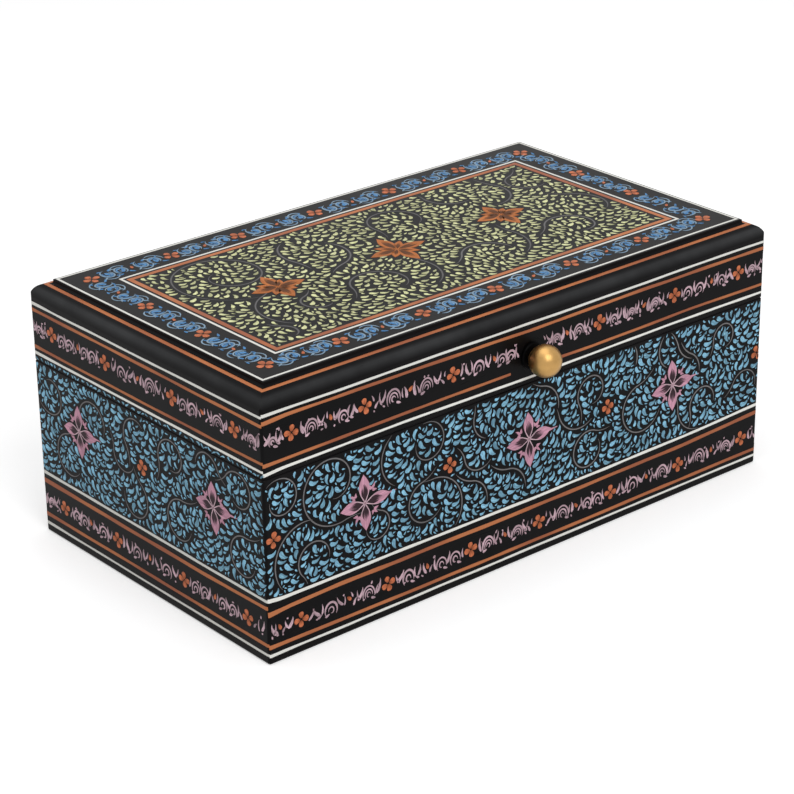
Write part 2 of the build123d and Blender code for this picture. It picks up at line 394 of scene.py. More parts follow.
class LeafPainter:
    """Fills a field with comma leaves that follow the vines."""

    # Distances of the rows from a vine, as shares of a leaf's length.
    rows = (0.56, 1.6, 2.66)
    # Rounds of filling the gaps: tries for each square millimetre, and the leaves' scale.
    rounds = ((0.45, 1.0), (0.45, 0.84), (0.4, 0.66), (0.5, 0.46))
    # No leaf's slant is under this, so that its round end lies low or to the left.
    lowest_slant = -105

    def __init__(self, drawing, ground, vines, long, wide, gap, bend, hollow, stray, seed):
        self.drawing, self.ground, self.vines = drawing, ground, vines
        self.long, self.wide, self.gap = long, wide, gap
        self.bend, self.hollow, self.stray = bend, hollow, stray
        self.random = random.Random(seed)
        spots, self.ways, self.hands = [], [], []
        for vine in vines:
            hand = self.random.choice((-1, 1))
            for here, there in zip(vine, vine[1:]):
                spots.append(here)
                self.ways.append(math.degrees(math.atan2(there[1] - here[1], there[0] - here[0])))
                self.hands.append(hand)
        self.spots = np.array(spots)

    def leaf(self, x, y, scale):
        """Tries one leaf at (x, y), across the nearest vine's way, its round side down or to the left."""
        nearest = int(((self.spots - (x, y)) ** 2).sum(1).argmin())
        way, spot, hand = self.ways[nearest], self.spots[nearest], self.hands[nearest]
        turn = math.radians(way)
        flank = 1 if math.cos(turn) * (y - spot[1]) - math.sin(turn) * (x - spot[0]) > 0 else -1
        angle = way + flank * (90 - 22 * hand) + self.random.gauss(0, self.stray)
        angle = (angle - self.lowest_slant) % 180 + self.lowest_slant
        curl = self.random.uniform(*self.bend)
        long = self.long * scale * self.random.uniform(0.86, 1.14)
        wide = self.wide * scale * self.random.uniform(0.84, 1.14)
        tail = self.random.uniform(0.72, 0.96)
        hollow = self.random.uniform(0.1, self.hollow)
        room_long, room_wide = long + self.gap, wide + self.gap * 1.25
        room = comma(UNIT_CIRCLE, x, y, room_long, room_wide, angle, tail * 0.7, curl, hollow * 0.4)
        if not self.ground.free(filled(room)):
            return False
        shape = comma(UNIT_CIRCLE, x, y, long, wide, angle, tail, curl, hollow)
        if not self.ground.inside(shape):
            return False
        self.ground.mark(filled(shape))
        self.drawing.blob(x, y, long, wide, angle, tail, curl, self.random.random(), 14, hollow)
        return True

    def stack(self, vine, offset, pitch, scale):
        """A row of nested leaves along one flank of a vine."""
        walked = 0.0
        for i in range(1, len(vine) - 1):
            walked += math.dist(vine[i], vine[i - 1])
            if walked < pitch:
                continue
            walked -= pitch
            along = Vector((vine[i + 1][0] - vine[i - 1][0], vine[i + 1][1] - vine[i - 1][1])).normalized()
            self.leaf(vine[i][0] - along.y * offset, vine[i][1] + along.x * offset, scale)

    def dash(self, x, y):
        """Tries one thin short dash at (x, y), any way round."""
        long, wide = self.long * self.random.uniform(0.26, 0.5), self.wide * self.random.uniform(0.2, 0.32)
        angle = self.random.uniform(-110, 80)
        curl = self.random.uniform(-1.2, 1.2)
        room = comma(UNIT_CIRCLE, x, y, long + 0.35, wide + 0.42, angle, 0.4, curl)
        shape = comma(UNIT_CIRCLE, x, y, long, wide, angle, 0.6, curl)
        if self.ground.free(filled(room)) and self.ground.inside(shape):
            self.ground.mark(filled(shape))
            self.drawing.blob(x, y, long, wide, angle, 0.6, curl, self.random.uniform(0.5, 1.0), 8)

    def fill(self, area, dashes=0.0):
        """Rows along the vines first, then smaller and smaller leaves in the gaps, and last some dashes."""
        pitch = self.wide + self.gap * 1.1
        for reach in self.rows:
            for side_of in (1, -1):
                for vine in self.vines:
                    self.stack(vine, side_of * reach * self.long, pitch, 1.0)
        for tries, scale in self.rounds:
            for x, y in self.ground.openings(int(area * tries), self.random):
                self.leaf(x, y, scale)
        for x, y in self.ground.openings(int(area * dashes), self.random):
            self.dash(x, y)


# Finishes, their fixed colours in linear light

# The grey that the shoulder's lacquer is lifted towards: a painted sheen in place of the gloss's
# reflection.
PAINTED_SHEEN = (0.05, 0.051, 0.053)
CURL_OUTLINE = (0.27, 0.4, 0.53)
ZINC = (0.56, 0.57, 0.58)
PALE_PAPER, DULL_PAPER = (0.88, 0.88, 0.88), (0.86, 0.86, 0.86)
# What is left of a colour's red, green and blue where a long line turns duller, and in the top's petals.
DULLED, AMBER = (0.5, 0.42, 0.6), (0.84, 0.92, 0.52)


class Nodes:
    """A tree of shader nodes, put together one node at a time."""

    def __init__(self, tree):
        self.tree = tree
        self.tree.nodes.clear()

    def add(self, kind, inputs=None, **settings):
        """Adds a node, sets it up and joins its inputs."""
        node = self.tree.nodes.new("ShaderNode" + kind)
        for key, value in settings.items():
            setattr(node, key, value)
        for key, value in (inputs or {}).items():
            if isinstance(value, bpy.types.NodeSocket):
                self.tree.links.new(value, node.inputs[key])
            else:
                node.inputs[key].default_value = value
        return node

    def math(self, operation, a, b=0.0, clamp=False):
        """One step of arithmetic."""
        return self.add("Math", {0: a, 1: b}, operation=operation, use_clamp=clamp).outputs[0]

    def ramp(self, value, low, high, out_low=0.0, out_high=1.0):
        """Maps a value from one range to another and holds it there."""
        inputs = {"Value": value, 1: low, 2: high, 3: out_low, 4: out_high}
        return self.add("MapRange", inputs, clamp=True).outputs[0]

    def blend(self, share, a, b):
        """Mixes two colours."""
        node = self.add("Mix", data_type="RGBA")
        for socket, value in ((node.inputs[0], share), (node.inputs[6], a), (node.inputs[7], b)):
            if isinstance(value, bpy.types.NodeSocket):
                self.tree.links.new(value, socket)
            else:
                socket.default_value = value if isinstance(value, float) else (*value[:3], 1.0)
        return node.outputs[2]


class Finish(Nodes):
    """A material in a piece's own space."""

    def __init__(self, name):
        self.material = bpy.data.materials.new(name)
        self.material.use_nodes = True
        super().__init__(self.material.node_tree)
        self.place = self.add("TexCoord").outputs["Object"]

    def noise(self, scale, detail=3.0, rough=0.55, stretch=None, vector=None):
        """Noise in the piece's own space, stretched along an axis where the finish needs it."""
        vector = vector or self.place
        if stretch:
            vector = self.add("Mapping", {"Vector": vector, "Scale": stretch}).outputs[0]
        inputs = {"Vector": vector, "Scale": scale, "Detail": detail, "Roughness": rough}
        return self.add("TexNoise", inputs).outputs["Fac"]

    def stroke(self, shift):
        """The places along and across a stroke, its tint, and a shift that no two strokes share."""
        stroke = self.add("Attribute", attribute_name="stroke", attribute_type="GEOMETRY")
        along, across, tint = self.add("SeparateColor", {0: stroke.outputs["Color"]}).outputs
        return along, across, tint, self.math("MULTIPLY", tint, shift)

    def bump(self, height, strength, distance):
        """A normal from a height."""
        inputs = {"Height": height, "Strength": strength, "Distance": distance}
        return self.add("Bump", inputs).outputs[0]

    def surface(self, **sockets):
        """The principled shader and the output."""
        inputs = {key.replace("_", " "): value for key, value in sockets.items()}
        shader = self.add("BsdfPrincipled", inputs)
        output = self.add("OutputMaterial")
        self.tree.links.new(shader.outputs[0], output.inputs[0])
        return self.material


def shade(colour, factor):
    """A colour made lighter or darker."""
    return tuple(min(1.0, c * factor) for c in colour)


def tinted(colour, factors):
    """A colour with each of its channels changed by its own factor."""
    return tuple(c * factor for c, factor in zip(colour, factors))


def lacquer_and_wood(colours):
    """Black lacquer on the outside, with a painted sheen along the top board's shoulder, and bare varnished
    wood on the inside.
    """
    f = Finish("lacquer_and_wood")
    axis = f.add("SeparateXYZ", {0: f.place}).outputs
    in_x = f.math("LESS_THAN", f.math("ABSOLUTE", axis[0]), (HALF_L - WALL_THICKNESS + 0.2) * MM)
    in_y = f.math("LESS_THAN", f.math("ABSOLUTE", axis[1]), (HALF_D - WALL_THICKNESS + 0.2) * MM)
    above = f.math("GREATER_THAN", axis[2], 0.5 * MM)
    below = f.math("LESS_THAN", axis[2], (FRAME_TOP + 0.2) * MM)
    inside = f.math("MULTIPLY", f.math("MULTIPLY", in_x, in_y), f.math("MULTIPLY", above, below))
    on_side = f.math("GREATER_THAN", f.math("ABSOLUTE", axis[0]), (HALF_L - WALL_THICKNESS - 0.3) * MM)
    long_way = f.noise(260.0, 5.0, 0.6, (0.07, 1.0, 1.0))
    side_way = f.noise(260.0, 5.0, 0.6, (1.0, 0.07, 1.0))
    grain = f.blend(on_side, long_way, side_way)
    figure = f.noise(38.0, 3.0, 0.5, (0.16, 0.3, 1.0))
    wood = f.blend(f.ramp(grain, 0.38, 0.66), colours.wood, shade(colours.wood, 0.5))
    wood = f.blend(f.ramp(figure, 0.45, 0.7, 0.0, 0.55), wood, shade(colours.wood, 0.62))
    cloud = f.noise(30.0, 4.0, 0.6)
    brushed = f.noise(210.0, 4.0, 0.65, (0.12, 0.12, 1.0))
    black = f.blend(f.ramp(cloud, 0.35, 0.7), colours.lacquer, shade(colours.lacquer, 1.55))
    dust = f.ramp(f.noise(1900.0, 2.0, 0.5), 0.70, 0.78)
    black = f.blend(f.math("MULTIPLY", dust, 0.35), black, shade(colours.lacquer, 5.0))
    # Painted sheen: a band of the shoulder under the ledge is lifted towards grey, patchy with the cloud
    # noise, standing in for the lacquer's reflection.
    over = f.ramp(axis[2], (LEDGE_TOP - 4.6) * MM, (LEDGE_TOP - 2.2) * MM)
    under = f.ramp(axis[2], (LEDGE_TOP - 1.4) * MM, (LEDGE_TOP - 0.5) * MM, 1.0, 0.0)
    painted_sheen = f.math("MULTIPLY", f.math("MULTIPLY", over, under), f.ramp(cloud, 0.3, 0.7, 0.35, 0.9))
    black = f.blend(painted_sheen, black, PAINTED_SHEEN)
    gloss = f.math("ADD", f.ramp(brushed, 0.3, 0.75, 0.24, 0.36), f.ramp(cloud, 0.3, 0.8, 0.0, 0.08))
    rough = f.math("ADD", gloss, f.math("MULTIPLY", inside, 0.12))
    height = f.math("ADD", f.math("MULTIPLY", brushed, 0.5), f.math("MULTIPLY", grain, inside))
    return f.surface(
        Base_Color=f.blend(inside, black, wood),
        Roughness=rough,
        Specular_IOR_Level=0.05,
        Normal=f.bump(height, 0.22, 0.00012),
    )


def paint(
    name, colour, gloss=0.36, streaks=0.55, dark=0.58, pale=1.08, deep=0.8, fade=0.0, load=0.0, wander=0.0
):
    """Brushed paint: streaks run along each stroke, and no two strokes are quite the same colour. Fade
    thins the paint towards the stroke's end, load leaves it thicker and paler in places, and wander lets a
    long line turn redder and duller and back again."""
    f = Finish(name)
    along, across, tint, shift = f.stroke(61.0)
    places = {0: f.math("ADD", along, shift), 1: f.math("MULTIPLY", across, 4.5), 2: shift}
    bristle = f.noise(1.6, 3.0, 0.6, vector=f.add("CombineXYZ", places).outputs[0])
    patch = f.noise(420.0, 3.0, 0.6)
    light = f.blend(f.ramp(tint, 0.0, 1.0), shade(colour, deep), shade(colour, pale))
    if wander:
        slow = f.noise(24.0, 2.0, 0.5)
        light = f.blend(f.ramp(slow, 0.42, 0.6, 0.0, wander), light, tinted(colour, DULLED))
    worn = f.math("MULTIPLY", f.ramp(bristle, 0.46, 0.72), streaks)
    worn = f.math("ADD", worn, f.ramp(patch, 0.55, 0.8, 0.0, 0.25), clamp=True)
    if fade:
        worn = f.math("ADD", worn, f.ramp(along, 0.35, 1.0, 0.0, fade), clamp=True)
    if load:
        light = f.blend(f.ramp(bristle, 0.34, 0.48, load, 0.0), light, shade(colour, 1.6))
    return f.surface(
        Base_Color=f.blend(worn, light, shade(colour, dark)),
        Specular_IOR_Level=0.06,
        Roughness=f.ramp(patch, 0.3, 0.8, gloss - 0.06, gloss + 0.12),
        Normal=f.bump(bristle, 0.25, 0.00006),
    )


def petal_heart(name, petal, ground):
    """The dark heart of a petal, feathered into the petal colour at its outer end."""
    f = Finish(name)
    along, across, tint, shift = f.stroke(47.0)
    places = {0: shift, 1: f.math("MULTIPLY", across, 9.0), 2: shift}
    feather = f.noise(1.4, 2.0, 0.5, vector=f.add("CombineXYZ", places).outputs[0])
    edge = f.math("ADD", along, f.ramp(feather, 0.3, 0.7, -0.45, 0.2))
    share = f.ramp(edge, 0.55, 0.8, 0.06, 0.9)
    return f.surface(
        Base_Color=f.blend(share, ground, petal),
        Specular_IOR_Level=0.05,
        Roughness=f.ramp(feather, 0.3, 0.7, 0.32, 0.44),
    )


def metal(name, colour, rough, scratch):
    """Polished metal with fine handling marks and a little tarnish."""
    f = Finish(name)
    fine = f.noise(900.0, 4.0, 0.7, (1.0, 1.0, 0.2))
    cloud = f.noise(240.0, 3.0, 0.6)
    tone = f.blend(f.ramp(cloud, 0.4, 0.75, 0.0, 0.6), colour, shade(colour, 0.72))
    handled = f.ramp(fine, 0.3, 0.7, rough - 0.05, rough + 0.06)
    return f.surface(
        Base_Color=tone,
        Metallic=1.0,
        Roughness=f.math("ADD", handled, f.ramp(cloud, 0.3, 0.8, 0.0, 0.06)),
        Normal=f.bump(fine, scratch, 0.00003),
    )


def turned_black(colours):
    """The knob's turned and blackened collar."""
    f = Finish("turned_black")
    cloud = f.noise(160.0, 3.0, 0.6)
    tone = f.blend(f.ramp(cloud, 0.35, 0.7), shade(colours.lacquer, 0.4), shade(colours.lacquer, 0.9))
    rough = f.ramp(cloud, 0.3, 0.8, 0.34, 0.46)
    return f.surface(Base_Color=tone, Roughness=rough, Specular_IOR_Level=0.02)


FINISHES = {}


def finish_named(name):
    """The finish with that name, from those that are made at the first call."""
    if not FINISHES:
        c = bpy.context.scene.painted_box_colours
        amber = tinted(c.orange, AMBER)
        leafy = {"streaks": 0.8, "dark": 0.4, "pale": 1.3, "deep": 0.58, "fade": 0.45, "load": 0.7}
        petalled = {"streaks": 0.6, "dark": 0.4, "fade": 0.75, "load": 0.5}
        scrolled = {"streaks": 0.8, "dark": 0.4, "pale": 1.2, "deep": 0.62, "fade": 0.3, "load": 0.5}
        dabbed = {"streaks": 0.8, "dark": 0.42, "pale": 1.15, "deep": 0.5, "fade": 0.4, "load": 0.6}
        FINISHES["woodwork"] = lacquer_and_wood(c)
        FINISHES["blue"] = paint("leaf_blue_paint", c.blue, **leafy)
        FINISHES["vine"] = paint("vine_grey_paint", c.vine, streaks=0.7, dark=0.5)
        FINISHES["pink"] = paint("petal_pink_paint", c.pink, streaks=0.6, dark=0.64, load=0.5)
        FINISHES["pink_heart"] = petal_heart("petal_pink_heart", c.pink, shade(c.lacquer, 1.2))
        FINISHES["mauve"] = paint("scroll_pink_paint", c.mauve, **scrolled)
        FINISHES["orange"] = paint("blossom_orange_paint", c.orange, **petalled)
        FINISHES["amber"] = paint("top_petal_paint", amber, streaks=0.6, dark=0.55)
        FINISHES["amber_heart"] = petal_heart("top_petal_heart", amber, shade(amber, 0.15))
        FINISHES["rule"] = paint("rule_orange_paint", c.rule, streaks=0.45, dark=0.68, wander=0.7)
        FINISHES["green"] = paint("yellow_green_paint", c.green, **dabbed)
        FINISHES["deep_vine"] = paint("deep_vine_paint", shade(c.vine, 0.62), streaks=0.3, dark=0.7)
        FINISHES["pale_azure"] = paint("border_outline_paint", CURL_OUTLINE, streaks=0.6, dark=0.5)
        FINISHES["azure"] = paint("border_blue_paint", c.azure, streaks=0.8, dark=0.4, load=0.8)
        FINISHES["white"] = paint("line_white_paint", c.white, streaks=0.32, dark=0.74)
        # The knob patch's paint, darker than the lacquer: a painted shadow of the knob.
        FINISHES["black"] = paint("knob_shadow_black_paint", shade(c.lacquer, 0.35), gloss=0.3, streaks=0.3, dark=0.6)
        FINISHES["brass"] = metal("polished_brass", c.brass, 0.34, 0.12)
        FINISHES["steel"] = metal("zinc_steel", ZINC, 0.36, 0.2)
        FINISHES["collar"] = turned_black(c)
    return FINISHES[name]


# The ornament's layout, in millimetres on each face

# Each ruled line: its body, colour and relative width, and its height along the front and the left.
LINES = [
    ("base", "white", 0.74, [(0, 3.4), (240, 3.4)], [(0, 3.6), (136, 3.7)]),
    ("base", "rule", 1.0, [(0, 6.6), (60, 6.2), (120, 5.9), (240, 5.9)], [(0, 7.4), (136, 7.4)]),
    ("base", "rule", 1.15, [(0, 19.2), (10, 19.9), (30, 20.3), (120, 19.8), (200, 20.2), (240, 21.7)],
     [(0, 21.2), (100, 21.0), (136, 21.7)]),
    ("base", "white", 0.86, [(0, 24.6), (6, 23.9), (60, 23.9), (120, 23.3), (200, 23.8), (240, 25.0)],
     [(0, 24.6), (136, 24.4)]),
    ("lid", "white", 0.76, [(0, 71.2), (8, 71.8), (60, 72.3), (110, 71.8), (190, 72.3), (240, 71.9)],
     [(0, 72.6), (136, 72.4)]),
    ("lid", "rule", 0.82,
     [(0, 74.7), (30, 74.9), (60, 75.4), (110, 75.6), (150, 75.1), (200, 75.6), (240, 75.1)],
     [(0, 75.1), (60, 75.0), (136, 75.4)]),
    ("lid", "rule", 0.9, [(0, 89.8), (10, 90.4), (60, 90.3), (120, 89.7), (180, 90.1), (240, 89.8)],
     [(0, 89.4), (60, 89.3), (136, 89.0)]),
    ("lid", "white", 0.72, [(0, 92.6), (240, 92.4)], [(0, 91.9), (136, 92.0)]),
]
# The lines, counted from 0, at the foot of the walls' fields and under the knob.
FOOT_LINE, KNOB_LINE = 3, 5
# The line under the knob stops either side of it, and the scrolls leave a plain patch round it, painted
# darker than the lacquer as the knob's shadow.
RULE_STOP, RULE_START = 110.0, 128.0
KNOB_CLEAR = 6.3
# Widths of the top's two orange lines, on the shoulder and inside the panel.
SHOULDER_LINE, PANEL_LINE = 1.5, 1.9

# Vines: middle across and up, radius, start angle, sweep and end radius.
WALL_VINES = {
    "front": [
        (6.8, 60.3, 8.5, 140, -320, 4.5), (29, 58.5, 15.5, -70, -380, 5), (18, 36.5, 12.4, 85, 135, 15),
        (20.5, 33.5, 7, 225, -235, 6.5), (48.3, 37, 5.5, 75, -250, 5), (62, 59.5, 11.5, 130, 110, 11.5),
        (71.5, 61, 8, 100, -290, 5.5), (74, 33.5, 13, 95, -140, 13), (70.5, 39, 8, 100, 225, 8),
        (95, 50.5, 6.8, 190, 130, 7.5), (90, 31, 9, 80, -90, 9), (108, 30, 9, 85, -90, 9.5),
        (101, 62, 8.5, 160, 90, 8), (124, 57, 9.5, 80, -90, 9.5), (144.5, 54.5, 11, 190, 115, 10),
        (150, 57, 7.2, 215, -300, 5), (148.5, 34, 7.8, 60, 330, 6), (176, 43, 9.5, 100, 240, 10.2),
        (164, 64, 9, 35, -55, 9), (193, 62, 8.5, 140, 100, 8), (204, 66, 10, 200, 60, 11),
        (198, 49.5, 8.5, 65, -70, 8.5), (219.5, 59, 5.8, 190, -270, 4.5), (209, 35, 7, 200, -210, 6),
        (207, 36.5, 11.5, 180, 90, 11.5), (232, 35, 7, 160, -170, 6),
    ],
    "left": [
        (9, 58.5, 8.8, -150, 260, 5.5), (36, 56, 8.5, 165, -190, 7), (55, 50, 6.5, 170, 170, 6),
        (63, 60, 8.2, 220, -170, 6), (20, 37, 9, 100, 220, 7), (84, 59, 8.2, 200, -300, 4.5),
        (88, 36, 9, 80, 260, 6), (60, 35, 8.5, 60, -250, 6), (122, 60, 8, 150, -280, 5),
        (124, 36, 8.5, 80, 260, 6), (104, 62, 7, 20, 150, 6),
    ],
}
TOP_VINES = [
    (54, 90, 24, -100, -500, 5), (58, 50, 17, 110, 115, 17), (37, 35, 6, 60, -130, 5),
    (64, 49, 7, 100, 200, 5), (92, 48, 12, 170, -230, 9), (90, 86, 15, -80, 110, 13),
    (97, 90, 17, 200, -75, 15), (98, 50, 19, 15, -75, 18), (143, 52, 18, 10, -75, 18),
    (137, 92, 13, 190, -250, 8), (170, 101, 11, 160, 120, 10), (177, 93, 14, 25, -120, 13),
    (183, 45, 11, 150, -260, 7), (141, 43, 12, 150, -150, 9), (199, 60, 12, 60, -120, 12),
    (203, 92, 9, 100, 200, 7),
]

# Clear ground left between the walls' leaves and between the top's strokes.
LEAF_GAP, STROKE_GAP = 0.6, 0.85
# Small dashes tried on each square millimetre of a wall's field.
WALL_DASHES = 0.9
# The foot of the walls' fields, and the left, right, front and back edges of the top's field.
FIELD_FOOT = 24
TOP_FIELD = (27.9, LENGTH - 27.8, 26.6, DEPTH - 26.8)

# How far the layers under and over the strokes stand off the lacquer.
UNDER_LIFT, OUTLINE_LIFT, PETAL_LIFT = 0.03, 0.06, 0.07
BLOSSOM_LIFT, HEART_LIFT, EDGE_LIFT = 0.08, 0.12, 0.14

# The walls' large four-petalled flowers, and the small blossoms of the walls and of the top's border.
FLOWER_REACH = {"front": 10.8, "left": 10.2}
BLOSSOM_SIZE, BORDER_BLOSSOM_SIZE = 2.8, 3.1
WALL_FLOWERS = {
    "front": [(42.9, 47.3), (119.1, 47.6), (192.3, 47.1)],
    "left": [(26.9, 49.5), (107.5, 49.2)],
}
WALL_BLOSSOMS = {
    "front": [(3.4, 46.6), (81.4, 49.3), (158.3, 48.4), (238.2, 47.0)],
    "left": [(66.0, 49.2)],
}
# Blossoms and midway dots of the narrow bands, and the bands' heights.
CASE_BAND = {
    "front": (
        [14.1, 52.6, 91.1, 124.3, 160.7, 196.5, 231.2],
        [4.9, 35.2, 70.7, 107.6, 143.0, 179.5, 214.7],
        12.8,
    ),
    "left": ([13.8, 47.5, 88.1, 124.6], [30.6, 67.5, 106.0], 13.9),
}
LID_BAND = {
    "front": ([12.2, 43.7, 83.2, 153.2, 191.7, 225.9], [28.9, 63.8, 102.3, 137.2, 175.9, 211.4], 83.3),
    "left": ([12.9, 46.3, 86.0, 121.0], [29.5, 66.0, 103.5], 82.9),
}
# Clear ground that the scrolls leave at a blossom, a dot and a wall's end.
AT_BLOSSOM, AT_DOT, AT_END = 3.5, 1.1, 1.2
# Stretches of a band: up to the first it stays bare, then it takes a short motif, one motif, or two.
BARE, SHORT, SINGLE = 2.2, 7, 18
# The top panel's own flowers with their reach, and the blossoms of its border.
TOP_FLOWERS = [(61.5, 69.3, 11.3), (116.9, 69.3, 13.0), (169.8, 71.0, 11.3)]
TOP_BLOSSOMS = [
    (15.6, 17.4), (46.9, 16.3), (83.8, 16.3), (117.5, 16.3), (154.4, 16.4), (190.3, 16.3), (223.3, 16.8),
    (16.0, 52.5), (16.0, 86.0), (16.3, 119.8), (51.5, 120.2), (81.9, 119.9), (118.8, 120.0), (155.6, 119.8),
    (191.9, 120.0), (224.2, 118.8), (223.8, 85.6), (224.0, 55.4),
]


def mirrored(items, width):
    """A wall's layout turned round for the wall opposite."""
    opposite = []
    for item in items:
        if isinstance(item, (int, float)):
            opposite.append(width - item)
        elif len(item) == 6:
            opposite.append((width - item[0], item[1], item[2], 180 - item[3], -item[4], item[5]))
        else:
            opposite.append((width - item[0], *item[1:]))
    return opposite


PLAIN = {"front": "front", "left": "left", "back": "front", "right": "left"}


def layout(table, name):
    """The layout for a wall. The back and the right carry the front's and the left's, mirrored."""
    items = table[PLAIN[name]]
    if name in table:
        return items
    if isinstance(items, tuple):
        return mirrored(items[0], SIDES[name].width), mirrored(items[1], SIDES[name].width), items[2]
    return mirrored(items, SIDES[name].width)


def line_heights(entry, name):
    """The height marks of a ruled line on a wall."""
    marks = entry[3] if PLAIN[name] == "front" else entry[4]
    if name in ("front", "left"):
        return marks
    return [(SIDES[name].width - x, y) for x, y in reversed(marks)]


# Borders


def ruled_line(drawing, entry, place, seed, start, end):
    """One ruled line between two places on a wall, with the waver of the brush."""
    width = bpy.context.scene.painted_box_sizes.line / MM * entry[2]
    marks = line_heights(entry, place.name)
    count = max(4, int((end - start) / 2.4))
    places = {start + (end - start) * i / count for i in range(count + 1)}
    bends = [corner_start() + (CORNER_ROUND - corner_start()) * k / 5 for k in range(6)]
    bends += [place.width - x for x in bends]
    places |= {x for x in bends if start < x < end}
    path, widths = [], []
    for x in sorted(places):
        path.append((x, profile(marks, x) + unsteady(x, seed, 0.18)))
        loaded = 1 + 0.35 * math.exp((start - x) / 9)
        widths.append(width * loaded * (1 + unsteady(x * 2.3, seed + 0.5, 0.24)))
    drawing.ribbon(path, widths, tint=random.Random(seed).random())


def corner_start():
    """Where a wall's own half of the rounded corner begins, in its flat drawing."""
    return CORNER_ROUND * (1 - math.pi / 4)


def paint_wall_lines():
    """The white and orange lines round the case and the lid."""
    for index, entry in enumerate(LINES):
        body, colour = entry[0], entry[1]
        for number, (name, place) in enumerate(SIDES.items()):
            drawing = Drawing()
            start, end = corner_start() - 0.02, place.width - corner_start() + 0.02
            runs = [(start, end)]
            if name == "front" and index == KNOB_LINE:
                runs = [(start, RULE_STOP), (RULE_START, end)]
            for run in runs:
                ruled_line(drawing, entry, place, index * 5 + number, *run)
            piece = f"{'case' if body == 'base' else 'lid'}_{name}_line_{index + 1}"
            drawing.place(piece, place, body, colour, crown=0.0)


def board_height(inset):
    """Height of the top board's moulded surface at an inset from its outer faces."""
    if inset < SHOULDER_RADIUS:
        return LEDGE_TOP - SHOULDER_RADIUS + math.sqrt(SHOULDER_RADIUS**2 - (SHOULDER_RADIUS - inset) ** 2)
    return LEDGE_TOP if inset < PANEL_INSET else HEIGHT


def frame_line(name, inset, width, colour, rows=1):
    """A mitred line round the top board, at an inset from each outer face, that follows the moulding."""
    mesh = bmesh.new()
    layer = mesh.verts.layers.float_color.new("stroke")
    loops = []
    for row in range(rows + 1):
        shift = width * (row / rows - 0.5)
        front, right, back, left = (inset[key] + shift for key in ("front", "right", "back", "left"))
        height = board_height(inset["front"] + shift)
        far_x, far_y = LENGTH - right, DEPTH - back
        corners = ((left, front), (far_x, front), (far_x, far_y), (left, far_y))
        loops.append([mesh.verts.new((x - HALF_L, y - HALF_D, height)) for x, y in corners])
    for outer, inner in zip(loops, loops[1:]):
        for i in range(4):
            mesh.faces.new((outer[i], outer[(i + 1) % 4], inner[(i + 1) % 4], inner[i]))
    long_edges = [e for e in mesh.edges if e.calc_length() > 20]
    bmesh.ops.subdivide_edges(mesh, edges=long_edges, cuts=40, use_grid_fill=True)
    for vert in mesh.verts:
        waver = unsteady(vert.co.x + vert.co.y * 1.7, len(name), 0.16)
        if board_height(inset["front"]) == HEIGHT:
            vert.co.x += waver * 0.6
            vert.co.y += waver
        vert[layer] = (abs(vert.co.x) / HALF_L, 0.5 + waver, 0.5, 1)
    thicken(mesh, bpy.context.scene.painted_box_sizes.lift / MM)
    bmesh.ops.scale(mesh, vec=(MM, MM, MM), verts=mesh.verts[:])
    return finish(name, mesh, "lid", colour)


def paint_top_lines():
    """The orange line on the shoulder and the white and orange lines of the top panel."""
    line = bpy.context.scene.painted_box_sizes.line / MM
    shoulder = {"front": 4.5, "right": 4.5, "back": 4.5, "left": 4.35}
    frame_line("top_line_shoulder", shoulder, SHOULDER_LINE, "rule", rows=5)
    outer = {"front": 7.9, "right": 7.5, "back": 7.5, "left": 7.3}
    frame_line("top_line_outer", outer, line * 0.75, "white")
    inner = {"front": 22.8, "right": 24.0, "back": 23.0, "left": 24.1}
    frame_line("top_line_inner", inner, line * 0.8, "white")
    orange = {key: value + 2.4 for key, value in inner.items()}
    frame_line("top_line_orange", orange, PANEL_LINE, "rule")


# Flowers and scrolls


def blossom(drawing, x, y, size, rng):
    """A small blossom of four petals that hardly touch, fuller at their outer ends."""
    spin = rng.uniform(-6, 20)
    for quarter in range(4):
        angle = 90 * quarter + spin + rng.uniform(-6, 6)
        reach = size * rng.uniform(0.64, 0.72)
        long, wide = size * rng.uniform(0.88, 1.04), size * rng.uniform(0.8, 0.94)
        drawing.blob(*away(x, y, reach, angle), long, wide, angle + 180, 0.5, 0.0, rng.random())


def flower(petals, hearts, x, y, reach, width, heart, full, rng, spin=0.0, lines=None):
    """A large flower of four pointed petals with dark hearts, each heart a share of its petal's length and
    width. Pale lines, where they are drawn, follow the petals' edges out of the middle."""
    for quarter in range(4):
        angle = 90 * quarter + spin + rng.uniform(-4, 4)
        long = reach * rng.uniform(0.95, 1.06)
        petals.petal(x, y, long, width, angle, rng.random(), full=full)
        root = away(x, y, 0.06 * long, angle)
        hearts.petal(*root, long * heart[0], width * heart[1], angle, rng.random(), 0.9)
        for edge in (1, -1) if lines else ():
            path = []
            for step in range(13):
                share = 0.02 + 0.62 * step / 12
                half = edge * 0.46 * width * math.sin(math.pi * share**full) ** 1.1
                path.append(turned(x, y, share * long, half, angle))
            lines.ribbon(path, [0.44 - 0.026 * step for step in range(13)], tint=rng.uniform(0.5, 1.0))


def leaflets(drawing, x, y, reach, rng, spin=0.0):
    """Small three-lobed leaflets in the corners between a flower's petals."""
    for quarter in range(4):
        angle = 45 + 90 * quarter + spin + rng.uniform(-8, 8)
        root = away(x, y, reach * 0.46, angle)
        for lean, long in ((-54, 2.0), (2, 2.7), (58, 2.0)):
            long *= rng.uniform(0.85, 1.15)
            middle = away(*root, long * 0.55, angle + lean)
            curl = 0.8 if lean > 0 else -0.8
            drawing.blob(*middle, long, 1.3, angle + lean, 0.85, curl, rng.random(), 10)


# Arches of the bands' scrolls, the outermost first: radius as a share, start, sweep, end radius as a share
# of the radius, and width.
FAN = ((1.0, 205, -225, 0.92, 0.95), (0.66, 195, -215, 0.85, 0.8), (0.36, 180, -280, 0.5, 0.65))
ARCH = ((1.0, 200, -235, 0.88, 1.0), (0.48, 190, -300, 0.6, 0.8))
